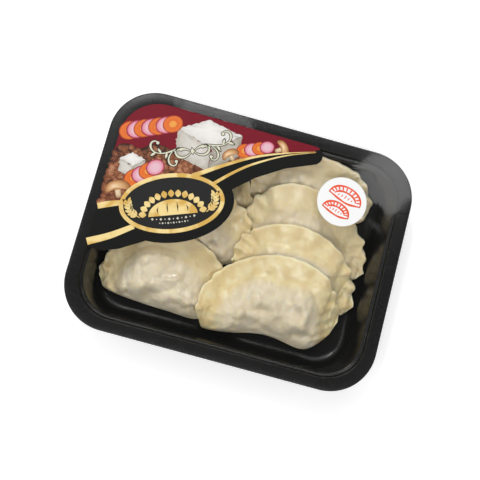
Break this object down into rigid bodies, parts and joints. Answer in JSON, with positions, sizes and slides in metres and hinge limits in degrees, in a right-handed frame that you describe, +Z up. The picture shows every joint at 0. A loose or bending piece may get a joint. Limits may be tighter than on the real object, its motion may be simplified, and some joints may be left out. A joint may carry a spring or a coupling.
{
  "type": "sealed tray of pierogi dumplings",
  "caption": "Shallow black plastic tray under clear film, holding folded half-moon dumplings with crimped edges, with a printed label and a round sticker on the film.",
  "frame": {"origin": "middle of the tray's underside, on the surface it stands on", "axes": "+X along the tray's long side, towards the right-hand column of dumplings; +Y away from the side that faces someone who reads the label; +Z up"},
  "size_m": [0.227, 0.178, 0.0406],
  "materials": {
    "tray_plastic": "thermoformed black plastic, semi-gloss",
    "clear_film": "clear lidding film, stretched and glossy",
    "printed_label": "satin print: burgundy field, black band with gold lines",
    "sticker_paper": "matt white paper",
    "dough": "moist boiled dough, cream with yellower crimps"
  },
  "bodies": {
    "root": {"tray": "tray_plastic", "film": "clear_film", "label": "printed_label", "sticker": "sticker_paper", "dumpling_back_right": "dough", "dumpling_back_left": "dough", "dumpling_third_right": "dough", "dumpling_middle_left": "dough", "dumpling_second_right": "dough", "dumpling_front_left": "dough", "dumpling_front_right": "dough"}
  },
  "joints": []
}
